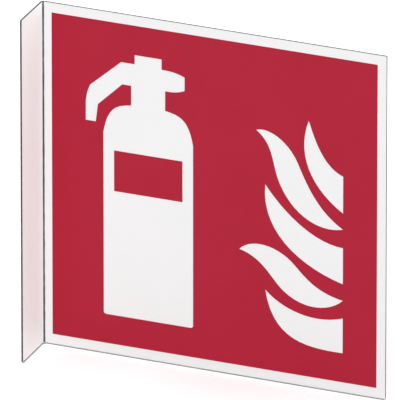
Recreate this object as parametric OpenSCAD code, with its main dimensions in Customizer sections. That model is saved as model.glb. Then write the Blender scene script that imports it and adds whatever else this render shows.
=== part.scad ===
// Projecting wall sign for a fire extinguisher: one folded sheet, with a printed square on both faces.
// The origin is the centre of the face that goes on the wall. X points away from the wall, and Z is up.

/* [Sheet] */
// Length of the panel, from the wall to its free edge
panel_l = 200; // [120:1:400]
// Height of the sign
panel_h = 200; // [120:1:400]
// Depth of the flange, along the wall
flange_d = 30; // [15:1:60]
// Thickness of the sheet
sheet_t = 1; // [0.8:0.1:3]
// Inside radius of the fold
bend_r = 1; // [0.5:0.1:3]

/* [Print] */
// Thickness of the printed film
film_t = 0.1; // [0.05:0.05:0.3]
// White strip between the print and the panel's upright edges
side_margin = 5.2; // [4:0.1:15]
// White strip above and below the print
end_margin = 5.7; // [3:0.1:15]

/* [Bottle on the symbol's square] */
// Middle of the bottle, from the left of the symbol
bottle_x = 55.9; // [50:0.1:60]
// Width of the bottle
body_w = 52; // [44:0.5:54]
// Bottom of the bottle and of the flames
body_bottom = 17; // [10:0.5:20]
// Height at which the shoulders start to curve in
shoulder_y = 123.5; // [120:0.5:128]
// Width of the neck
neck_w = 19.7; // [16:0.1:24]
// Height at which the shoulders reach the neck
neck_y = 141.4; // [138:0.1:146]
// Underside of the valve, the hose and the lever
valve_y = 152.8; // [150:0.1:156]
// Top of the hose and of the lever
lever_y = 165; // [162:0.1:167]
// Width of the cap
cap_w = 15.6; // [12:0.1:20]
// Top of the cap
cap_y = 171; // [169:0.5:176]
// Width of the red label
label_w = 39.6; // [30:0.1:42]
// Height of the red label
label_h = 23.7; // [16:0.1:32]
// Middle of the red label
label_y = 101.7; // [80:0.1:110]

/* [Hidden] */
$fn = 64;

// Side of the square that the symbol is drawn on, so that at the standard size one unit is about 1 mm
symbol_side = 188;
// Straight pieces that stand in for each stretch of a curve
curve_steps = 14;
// Rounding of the bottle's bottom corners
foot_r = 1.5;

// The panel is flush with the far end of the flange
back_y = flange_d / 2;
front_y = back_y - sheet_t;
outer_r = bend_r + sheet_t;
field_w = panel_l - sheet_t - 2 * side_margin;
field_h = panel_h - 2 * end_margin;
symbol_scale = min(field_w, field_h) / symbol_side;

// A curve is a row of points: a corner, two handles, the next corner, and so on.
// The hose, the lever and the shoulder are measured from the bottle's middle line.

// Hose: how far out its left edge is, the height of its open end, and its width there
hose_x = 36.2;
hose_end_y = 128.8;
hose_w = 5.8;
// Top of the hose, and the lengths of its level part on the top and on the underside
hose_y = lever_y + 0.7;
hose_top_l = 15.6;
hose_under_l = 15;
// Bend of the hose, down from the valve's underside: the outer curve, and the inner corner
hose_bend = [[2.7 - hose_x, -3], [1.2 - hose_x, -5.8], [-hose_x, -10.3], [-hose_x, -14.8]];
hose_inner = [hose_w + 1.3 - hose_x, -13.7];

// Lever: how far out its right end is, and the upper and lower corner of that end
lever_x = 21.1;
lever_tip = [lever_x, lever_y - 2.4];
lever_toe = [lever_x, valve_y + 2];
lever_top = [[cap_w / 2 + 0.5, lever_y], [lever_x - 7, lever_y], [lever_x - 3, lever_y - 1], lever_tip];
lever_under = [lever_toe, [lever_x - 2.5, valve_y + 0.7], [lever_x - 5.5, valve_y], [lever_x - 9, valve_y]];

// Right shoulder of the bottle, from the side of the body to the neck
shoulder = [
    [body_w / 2, shoulder_y],
    [body_w / 2 - 2.5, shoulder_y + 15],
    [neck_w / 2 + 8.2, neck_y - 1.2],
    [neck_w / 2, neck_y],
];

// The flames end at one upright line.
// Their upper edges run from the tip to that line, and their lower edges come back to the tip.
flame_x = 168.5;
tips = [[148.6, 149.3], [118.3, 139.1], [123.6, 108.3], [108.6, 68.1], [123.7, 46.9]];
upper_edges = [
    [tips[0], [152, 139.3], [156.8, 124.2], [flame_x, 120]],
    [tips[1], [125.5, 142], [137, 135.3], [142.5, 123.3], [147.5, 112], [154, 97.5], [flame_x, 89.2]],
    [tips[2], [132.8, 95.7], [149.8, 79], [flame_x, 78.4]],
    [tips[3], [115, 75.5], [130.5, 74.5], [141, 63.5], [148.3, 55.9], [154.5, 50], [flame_x, 47.7]],
    [tips[4], [133.5, 36.8], [152, 31.2], [flame_x, 37.4]],
];
lower_edges = [
    [[flame_x, 98.5], [149, 111], [141.5, 130], tips[0]],
    [[flame_x, 89.2], [156, 85.1], [140, 92], [132, 109.7], [127, 120.8], [129, 131.5], tips[1]],
    [[flame_x, 57.3], [141, 64.5], [121, 82.5], tips[2]],
    [[flame_x, 47.7], [159.5, 38.5], [141, 38], [129, 53], [122.5, 61.1], [117.5, 66], tips[3]],
    [[flame_x, body_bottom], [148, body_bottom - 0.4], [128, body_bottom + 0.8], tips[4]],
];

function last(list) = list[len(list) - 1];

// Point at share s of the way along a cubic curve from a to d, with the handles b and c
function cubic(a, b, c, d, s) =
    a * pow(1 - s, 3) + b * 3 * s * pow(1 - s, 2) + c * 3 * pow(s, 2) * (1 - s) + d * pow(s, 3);

// Points along a row of corners and handles, without the last corner
function curve(row) = [
    for (i = [0:3:len(row) - 4], k = [0:curve_steps - 1])
        cubic(row[i], row[i + 1], row[i + 2], row[i + 3], k / curve_steps)
];

// Points along an arc round a centre
function arc(centre, r, from, to, steps) = [
    for (k = [0:steps]) let (turn = from + (to - from) * k / steps) centre + r * [cos(turn), sin(turn)]
];

// The same points on the other side of the upright axis, in the opposite order
function mirrored(points) = [for (i = [len(points) - 1:-1:0]) [-points[i].x, points[i].y]];

// Body, shoulders and neck of the bottle, with the neck's top hidden in the valve
module bottle_body() {
    right_half = concat(
        arc([body_w / 2 - foot_r, body_bottom + foot_r], foot_r, -90, 0, 4),
        curve(shoulder),
        [last(shoulder), [neck_w / 2, (valve_y + lever_y) / 2]]
    );
    polygon(concat(right_half, mirrored(right_half)));
}

// Cap of the valve, with the lever that points to the right
module valve() {
    cap_r = cap_w / 2;
    polygon(concat(
        [[-cap_r, valve_y], [-cap_r, cap_y], [cap_r, cap_y], [cap_r, lever_y]],
        curve(lever_top),
        [lever_tip],
        curve(lever_under)
    ));
}

// Hose, from the valve down to its open end on the left
module hose() {
    end_y = hose_end_y - valve_y;
    top_y = hose_y - valve_y;
    translate([0, valve_y]) polygon(concat(
        [[0, top_y], [-hose_top_l, top_y]],
        curve(hose_bend),
        [last(hose_bend), [-hose_x, end_y], [hose_w - hose_x, end_y], hose_inner, [-hose_under_l, 0], [0, 0]]
    ));
}

module label() {
    translate([bottle_x - label_w / 2, label_y - label_h / 2]) square([label_w, label_h]);
}

module flame(upper, lower) {
    // A flame with a flat end has one more corner, where its upper edge stops
    flat_end = last(upper) == lower[0] ? [] : [last(upper)];
    polygon(concat(curve(upper), flat_end, curve(lower)));
}

// White shapes of the symbol, on its own square
module symbol() {
    translate([bottle_x, 0]) {
        bottle_body();
        valve();
        hose();
    }
    for (i = [0:len(tips) - 1]) flame(upper_edges[i], lower_edges[i]);
}

// Puts a flat shape of the symbol's square in the middle of the red field
module placed() {
    translate([field_w - symbol_side * symbol_scale, field_h - symbol_side * symbol_scale] / 2)
        scale(symbol_scale) children();
}

// One printed film, lying flat: the red field without the symbol, and the red label
module film() {
    linear_extrude(film_t) {
        difference() {
            square([field_w, field_h]);
            placed() symbol();
        }
        placed() label();
    }
}

// Section of the folded sheet, seen from above
module sheet_section() {
    translate([0, -flange_d / 2]) square([sheet_t, flange_d - outer_r]);
    translate([outer_r, front_y]) square([panel_l - outer_r, sheet_t]);
    translate([outer_r, back_y - outer_r]) intersection() {
        difference() {
            circle(outer_r);
            circle(bend_r);
        }
        translate([-outer_r, 0]) square(outer_r);
    }
}

module folded_panel() {
    color("white") translate([0, 0, -panel_h / 2]) linear_extrude(panel_h) sheet_section();
}

module front_print() {
    color("firebrick") translate([sheet_t + side_margin, front_y, -field_h / 2]) rotate([90, 0, 0]) film();
}

// The back reads the same way round, so it is the front turned about the upright axis
module back_print() {
    color("firebrick") translate([panel_l - side_margin, back_y, -field_h / 2]) rotate([90, 0, 180]) film();
}

folded_panel();
front_print();
back_print();
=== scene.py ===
"""Dresses the folded wall sign: coated sheet, printed films, floor, lights and camera.

All lengths are in metres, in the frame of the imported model.
"""
import math

import bpy
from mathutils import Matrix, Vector


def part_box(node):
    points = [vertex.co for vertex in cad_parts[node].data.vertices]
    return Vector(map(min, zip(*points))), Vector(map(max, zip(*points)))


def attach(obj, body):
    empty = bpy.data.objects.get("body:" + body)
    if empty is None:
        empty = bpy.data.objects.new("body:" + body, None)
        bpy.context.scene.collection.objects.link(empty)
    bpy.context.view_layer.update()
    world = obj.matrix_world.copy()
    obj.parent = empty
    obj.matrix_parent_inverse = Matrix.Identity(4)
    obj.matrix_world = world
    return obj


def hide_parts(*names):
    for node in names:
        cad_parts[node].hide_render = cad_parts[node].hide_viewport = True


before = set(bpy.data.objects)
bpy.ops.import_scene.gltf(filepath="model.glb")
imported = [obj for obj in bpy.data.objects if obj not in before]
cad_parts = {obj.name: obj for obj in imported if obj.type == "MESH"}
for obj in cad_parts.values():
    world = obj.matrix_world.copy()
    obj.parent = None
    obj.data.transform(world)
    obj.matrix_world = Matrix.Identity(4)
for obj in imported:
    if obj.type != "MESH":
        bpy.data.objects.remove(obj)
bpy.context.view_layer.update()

MM = 0.001

# Places that the frame gives
SHEET_LOW, SHEET_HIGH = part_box("folded_panel")
FRONT_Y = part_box("front_print")[1].y
SHEET_T = SHEET_HIGH.y - FRONT_Y

# Fold of the sheet, seen from above: its inside radius, which the frame doesn't give, the flat steps
# in each arc, and the centre of both arcs
BEND_R = 1 * MM
BEND_STEPS = 16
FOLD_CENTRE = Vector((SHEET_T + BEND_R, FRONT_Y - BEND_R))

# Materials of the sheet's mesh, in their order
COAT_SLOT = 0
METAL_SLOT = 1

# Corners of the cut edges: how far they are rounded, in how many steps, and the bend from which they count
EDGE_ROUND = 0.07 * MM
EDGE_SEGMENTS = 2
CORNER_ANGLE = math.radians(40)

# What almost all noise lies between
NOISE_LOW = 0.25
NOISE_HIGH = 0.75

# White coat: two whites and the size of their clouds, roughness and the size of its clouds, and refraction
COAT_WHITES = ((0.875, 0.877, 0.880), (0.890, 0.890, 0.888))
COAT_CLOUD = 35 * MM
COAT_ROUGHNESS = (0.44, 0.52)
COAT_GLOSS_CLOUD = 18 * MM
COAT_IOR = 1.45

# Painted shade inside the fold: how far it is solid and how far it reaches from the crease, how its edge
# wanders, and its greys
CREASE_SHADE_CORE = 0.36 * MM
CREASE_SHADE_REACH = 0.78 * MM
CREASE_SHADE_WANDER = 0.10 * MM
CREASE_SHADE_WANDER_SIZE = 5 * MM
CREASE_SHADE_GREYS = ((0.030, 0.030, 0.033), (0.070, 0.070, 0.075))
CREASE_SHADE_CLOUD = 7 * MM

# Cut metal: its greys, its roughness, the size of its patches, its share of metal over dull oxide,
# and how strongly it mirrors, face on and at a slant
METAL_GREYS = ((0.035, 0.035, 0.038), (0.30, 0.30, 0.31))
METAL_ROUGHNESS = (0.42, 0.58)
METAL_PATCH = 6 * MM
METAL_SHARE = 0.75
METAL_SHINE = 0.25
METAL_RIM = (0.5, 0.5, 0.5, 1)

# Strokes across the cut edges: width, length over width, depth, and the noise that is dark and bright
STROKE_W = 0.16 * MM
STROKE_STRETCH = 8
STROKE_DEPTH = 0.02 * MM
STROKE_DARK = 0.42
STROKE_BRIGHT = 0.68

# Red print: two reds, the sizes and shares of the clouds and grains that mix them, the noise at which
# one and the other is pure, roughness and the size of its clouds, and shine
PRINT_REDS = ((0.407, 0.0035, 0.0265), (0.427, 0.0050, 0.0290))
PRINT_CLOUD = 28 * MM
PRINT_CLOUD_SHARE = 0.6
PRINT_GRAIN = 0.5 * MM
PRINT_GRAIN_SHARE = 0.4
PRINT_DEEP = 0.35
PRINT_PALE = 0.65
PRINT_ROUGHNESS = (0.40, 0.48)
PRINT_GLOSS_CLOUD = 12 * MM
PRINT_SHINE = 0.25

# Unevenness of the coat and of the print, in layers: size of the grains, detail of the noise, and height
COAT_RELIEF = ((1.6 * MM, 1, 0.004 * MM), (0.22 * MM, 2, 0.0012 * MM))
PRINT_RELIEF = ((2.5 * MM, 1, 0.003 * MM), (0.18 * MM, 2, 0.0015 * MM))

# Floor: its gap under the sign, its side, what it passes on to the sign, and how bright it is to look at
FLOOR_GAP = 0.7 * MM
FLOOR_SIDE = 8.0
FLOOR_SHADE = 0.8
FLOOR_SEEN = 1.12

# Contact line, a painted shadow in the seen floor's colour: how near the sign it darkens the floor, the
# darkest it gets, the shares of open sky at which it is darkest and gone, and how many rays look for the sky
CONTACT_SHADOW_REACH = 2 * MM
CONTACT_SHADOW_DARKEST = 0.05
CONTACT_SHADOW_CLOSED = 0.45
CONTACT_SHADOW_OPEN = 0.70
CONTACT_SHADOW_SAMPLES = 16

# Light from all round, what is seen of it, and the lamps: azimuth, elevation and width in degrees, strength
SKY_LEVEL = 0.59
SKY_SEEN = 1.0
LAMPS = {
    "key": (15, 50, 20, 1.08),
    "side": (86, 17, 60, 1.40),
    "back": (215, 35, 60, 0.75),
}

# Camera: its direction in degrees, its distance, and the point on the panel's front that it looks at
CAMERA_AZIMUTH = 22.4
CAMERA_ELEVATION = 23.5
CAMERA_DISTANCE = 9.548
CAMERA_LENS_MM = 1600
CAMERA_SENSOR_MM = 36
AIM = Vector((92.35 * MM, FRONT_Y, -1.2 * MM))


def direction(azimuth, elevation):
    """The unit vector from the sign towards a place seen at these angles, in degrees."""
    a, e = math.radians(azimuth), math.radians(elevation)
    return Vector((math.sin(a) * math.cos(e), -math.cos(a) * math.cos(e), math.sin(e)))


def aim(made, back):
    """Turns a camera or lamp so that it looks against this direction."""
    made.rotation_euler = back.to_track_quat("Z", "Y").to_euler()


def link_object(name, data):
    made = bpy.data.objects.new(name, data)
    bpy.context.scene.collection.objects.link(made)
    return made


class Graph:
    """Short calls that build one node tree."""

    def __init__(self, tree):
        self.tree = tree
        tree.nodes.clear()

    def node(self, kind, settings=None, **inputs):
        """Adds a node. An input is named by its socket in lower case, and is a value or an output."""
        made = self.tree.nodes.new(kind)
        for key, value in (settings or {}).items():
            setattr(made, key, value)
        sockets = {}
        for socket in made.inputs:
            if socket.enabled:
                sockets.setdefault(socket.name.lower().replace(" ", "_"), socket)
        for key, value in inputs.items():
            self.put(sockets[key], value)
        return made

    def put(self, socket, value):
        """Links an output to the socket, or sets the socket's own value."""
        if isinstance(value, bpy.types.NodeSocket):
            self.tree.links.new(value, socket)
        else:
            socket.default_value = value

    def math(self, operation, *values):
        made = self.tree.nodes.new("ShaderNodeMath")
        made.operation = operation
        for socket, value in zip(made.inputs, values):
            self.put(socket, value)
        return made.outputs[0]

    def position(self):
        """The place on the piece, in metres."""
        return self.node("ShaderNodeTexCoord").outputs["Object"]

    def places(self):
        """The same place as three outputs: X, Y and Z."""
        return self.node("ShaderNodeSeparateXYZ", vector=self.position()).outputs

    def noise(self, size, detail=2, stretch=(1, 1, 1)):
        """Noise with grains of this size in metres, longer along the axes where stretch is above 1."""
        scaled = self.node(
            "ShaderNodeMapping", vector=self.position(), scale=[1 / (size * s) for s in stretch]
        ).outputs[0]
        return self.node("ShaderNodeTexNoise", vector=scaled, scale=1.0, detail=detail).outputs["Fac"]

    def spread(self, value, low, high, start=NOISE_LOW, stop=NOISE_HIGH, smooth=False):
        """Takes a value that runs from start to stop to one that runs from low to high."""
        return self.node(
            "ShaderNodeMapRange",
            {"interpolation_type": "SMOOTHSTEP" if smooth else "LINEAR"},
            value=value, from_min=start, from_max=stop, to_min=low, to_max=high,
        ).outputs[0]

    def choose(self, share, low, high):
        """A number between low, where share is 0, and high, where it is 1."""
        return self.spread(share, low, high, start=0, stop=1)

    def clouds(self, size, detail=2):
        """Noise that runs from 0 to 1."""
        return self.spread(self.noise(size, detail), 0, 1)

    def tint(self, share, low, high):
        """A colour between low and high. Each of them is three numbers, or another node's output."""
        mix = self.node("ShaderNodeMixRGB", fac=share)
        for socket, colour in zip(mix.inputs[1:], (low, high)):
            self.put(socket, colour if isinstance(colour, bpy.types.NodeSocket) else (*colour, 1))
        return mix.outputs[0]

    def bump(self, height, depth, base=None):
        """Raises the surface by height times depth, in metres."""
        made = self.node("ShaderNodeBump", strength=1.0, distance=depth, height=height)
        if base is not None:
            self.put(made.inputs["Normal"], base)
        return made.outputs[0]

    def relief(self, layers):
        """Bumps on bumps. Each layer is the size of its grains, the detail of its noise, and its height."""
        normal = None
        for size, detail, height in layers:
            normal = self.bump(self.noise(size, detail), height, normal)
        return normal


def material(name):
    """A new material, and the graph that builds its nodes."""
    made = bpy.data.materials.new(name)
    made.use_nodes = True
    return made, Graph(made.node_tree)


def finish_surface(g, **inputs):
    """Ends a material's graph with one shader that takes these inputs."""
    shader = g.node("ShaderNodeBsdfPrincipled", **inputs)
    g.node("ShaderNodeOutputMaterial", surface=shader.outputs[0])


def painted_crease_shade(g):
    """Painted shade: 1 along the crease inside the fold, fading to 0 on both sides of it, with a slightly
    uneven edge.
    """
    crease = FOLD_CENTRE + BEND_R * Vector((-1, 1)).normalized()
    place = g.places()
    across = g.math("SUBTRACT", place["X"], crease.x)
    along = g.math("SUBTRACT", place["Y"], crease.y)
    squared = g.math("ADD", g.math("POWER", across, 2), g.math("POWER", along, 2))
    wander = g.spread(g.noise(CREASE_SHADE_WANDER_SIZE, detail=4), -CREASE_SHADE_WANDER, CREASE_SHADE_WANDER)
    distance = g.math("ADD", g.math("SQRT", squared), wander)
    return g.spread(distance, 1, 0, start=CREASE_SHADE_CORE, stop=CREASE_SHADE_REACH, smooth=True)


def white_coat():
    """Smooth baked coat with a faint orange peel, and a dark line of painted shade inside the fold."""
    made, g = material("white_coat")
    coat = g.tint(g.clouds(COAT_CLOUD), *COAT_WHITES)
    # Dark greys painted as shade along the crease inside the fold
    crease_shade = g.tint(g.clouds(CREASE_SHADE_CLOUD, detail=3), *CREASE_SHADE_GREYS)
    finish_surface(
        g,
        base_color=g.tint(painted_crease_shade(g), coat, crease_shade),
        roughness=g.spread(g.noise(COAT_GLOSS_CLOUD, detail=3), *COAT_ROUGHNESS),
        normal=g.relief(COAT_RELIEF),
        ior=COAT_IOR,
    )
    return made


def cut_metal():
    """Bare aluminium where the sheet was cut, dulled by air, with short strokes of the shears across it."""
    made, g = material("cut_metal")
    # The strokes run through the sheet's thickness, which is X in the flange and Y in the panel
    in_panel = g.math("GREATER_THAN", g.places()["X"], FOLD_CENTRE.x)
    on_flange = g.noise(STROKE_W, detail=3, stretch=(STROKE_STRETCH, 1, 1))
    on_panel = g.noise(STROKE_W, detail=3, stretch=(1, STROKE_STRETCH, 1))
    strokes = g.choose(in_panel, on_flange, on_panel)
    patches = g.noise(METAL_PATCH)
    bright = g.math("MULTIPLY", g.spread(strokes, 0, 1, start=STROKE_DARK, stop=STROKE_BRIGHT), patches)
    finish_surface(
        g,
        base_color=g.tint(bright, *METAL_GREYS),
        metallic=METAL_SHARE,
        roughness=g.spread(patches, *METAL_ROUGHNESS),
        normal=g.bump(strokes, STROKE_DEPTH),
        specular_ior_level=METAL_SHINE,
        specular_tint=METAL_RIM,
    )
    return made


def red_print():
    """Red ink on a thin film: satin, with a fine grain and a slight unevenness in its depth of colour."""
    made, g = material("red_print")
    clouds = g.math("MULTIPLY", g.noise(PRINT_CLOUD), PRINT_CLOUD_SHARE)
    grains = g.math("MULTIPLY", g.noise(PRINT_GRAIN), PRINT_GRAIN_SHARE)
    depth = g.spread(g.math("ADD", clouds, grains), 0, 1, start=PRINT_DEEP, stop=PRINT_PALE)
    finish_surface(
        g,
        base_color=g.tint(depth, *PRINT_REDS),
        roughness=g.spread(g.noise(PRINT_GLOSS_CLOUD, detail=3), *PRINT_ROUGHNESS),
        normal=g.relief(PRINT_RELIEF),
        specular_ior_level=PRINT_SHINE,
    )
    return made


def backdrop_light(g):
    """1 where the camera, or a clear reflection, looks straight at the background, and 0 elsewhere."""
    path = g.node("ShaderNodeLightPath").outputs
    seen = g.math("MAXIMUM", path["Is Camera Ray"], path["Is Glossy Ray"])
    return g.math("MAXIMUM", seen, path["Is Transmission Ray"])


def floor_surface():
    """Pale floor, its seen colour darkened by painted shade only where something almost touches it, which
    draws the sign's lower edges.
    """
    made, g = material("pale_floor")
    opening = g.node(
        "ShaderNodeAmbientOcclusion", {"samples": CONTACT_SHADOW_SAMPLES}, distance=CONTACT_SHADOW_REACH
    ).outputs["AO"]
    # Painted contact shadow: the seen colour darkens where little open sky is left
    painted_contact_shadow = g.spread(opening, CONTACT_SHADOW_DARKEST, 1, start=CONTACT_SHADOW_CLOSED, stop=CONTACT_SHADOW_OPEN)
    seen = g.math("MULTIPLY", painted_contact_shadow, FLOOR_SEEN)
    surface = g.node("ShaderNodeBsdfDiffuse", color=g.choose(backdrop_light(g), FLOOR_SHADE, seen))
    g.node("ShaderNodeOutputMaterial", surface=surface.outputs[0])
    return made


def section_rungs():
    """Pairs of outer and inner points along the sheet's section, from the flange's edge to the panel's."""
    rungs = [(Vector((0, SHEET_LOW.y)), Vector((SHEET_T, SHEET_LOW.y)))]
    for step in range(BEND_STEPS + 1):
        turn = math.radians(180 - 90 * step / BEND_STEPS)
        ray = Vector((math.cos(turn), math.sin(turn)))
        rungs.append((FOLD_CENTRE + ray * (BEND_R + SHEET_T), FOLD_CENTRE + ray * BEND_R))
    rungs.append((Vector((SHEET_HIGH.x, SHEET_HIGH.y)), Vector((SHEET_HIGH.x, FRONT_Y))))
    return rungs


def sheet_mesh():
    """The folded sheet, with the coat on its faces and bare metal on its cut edges."""
    # Each rung has four points: outer low, outer high, inner low and inner high
    heights = (SHEET_LOW.z, SHEET_HIGH.z)
    points = [(*point, height) for rung in section_rungs() for point in rung for height in heights]
    last = len(points) - 4
    coated = []
    cut = [(0, 2, 3, 1), (last, last + 1, last + 3, last + 2)]
    for a in range(0, last, 4):
        b = a + 4
        coated += [(a, a + 1, b + 1, b), (a + 2, b + 2, b + 3, a + 3)]
        cut += [(a + 1, a + 3, b + 3, b + 1), (a, b, b + 2, a + 2)]

    mesh = bpy.data.meshes.new("coated_sheet")
    mesh.from_pydata(points, [], coated + cut)
    for surface in (white_coat(), cut_metal()):
        mesh.materials.append(surface)
    for face in mesh.polygons:
        face.material_index = COAT_SLOT if face.index < len(coated) else METAL_SLOT
        face.use_smooth = True
    mesh.validate()
    return mesh


def build_sheet():
    """The folded sheet with softened corners along its cut edges, in place of the plain solid."""
    sheet = link_object("coated_sheet", sheet_mesh())
    bevel = sheet.modifiers.new("softened corners", "BEVEL")
    bevel.width = EDGE_ROUND
    bevel.segments = EDGE_SEGMENTS
    bevel.limit_method = "ANGLE"
    bevel.angle_limit = CORNER_ANGLE
    bevel.harden_normals = True
    bevel.material = METAL_SLOT
    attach(sheet, "root")
    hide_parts("folded_panel")


def dress_prints():
    """Both films keep their CAD solids and get the printed surface."""
    surface = red_print()
    for name in ("front_print", "back_print"):
        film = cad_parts[name]
        film.data.materials.clear()
        film.data.materials.append(surface)


def build_floor():
    """A plain square just under the sign."""
    half = FLOOR_SIDE / 2
    height = SHEET_LOW.z - FLOOR_GAP
    mesh = bpy.data.meshes.new("floor")
    corners = [(-half, -half, height), (half, -half, height), (half, half, height), (-half, half, height)]
    mesh.from_pydata(corners, [], [(0, 1, 2, 3)])
    mesh.materials.append(floor_surface())
    link_object("floor", mesh)


def build_world():
    """White to look at, and an even soft light on everything else."""
    world = bpy.data.worlds.new("soft_room")
    world.use_nodes = True
    g = Graph(world.node_tree)
    light = g.node("ShaderNodeBackground", color=(1, 1, 1, 1), strength=SKY_LEVEL)
    white = g.node("ShaderNodeBackground", color=(1, 1, 1, 1), strength=SKY_SEEN)
    mix = g.node("ShaderNodeMixShader")
    for socket, source in zip(mix.inputs, (backdrop_light(g), light.outputs[0], white.outputs[0])):
        g.put(socket, source)
    g.node("ShaderNodeOutputWorld", surface=mix.outputs[0])
    bpy.context.scene.world = world


def build_lamps():
    """Wide suns, so that the strength of each is the same all over the sign."""
    for name, (azimuth, elevation, width, strength) in LAMPS.items():
        data = bpy.data.lights.new(name, "SUN")
        data.energy = strength
        data.angle = math.radians(width)
        aim(link_object(name, data), direction(azimuth, elevation))


def build_camera():
    data = bpy.data.cameras.new("camera")
    data.lens = CAMERA_LENS_MM
    data.sensor_width = CAMERA_SENSOR_MM
    data.clip_end = 2 * CAMERA_DISTANCE
    camera = link_object("camera", data)
    back = direction(CAMERA_AZIMUTH, CAMERA_ELEVATION)
    camera.location = AIM + back * CAMERA_DISTANCE
    aim(camera, back)
    bpy.context.scene.camera = camera


build_sheet()
dress_prints()
build_floor()
build_world()
build_lamps()
build_camera()
bpy.context.scene.view_settings.view_transform = "Standard"
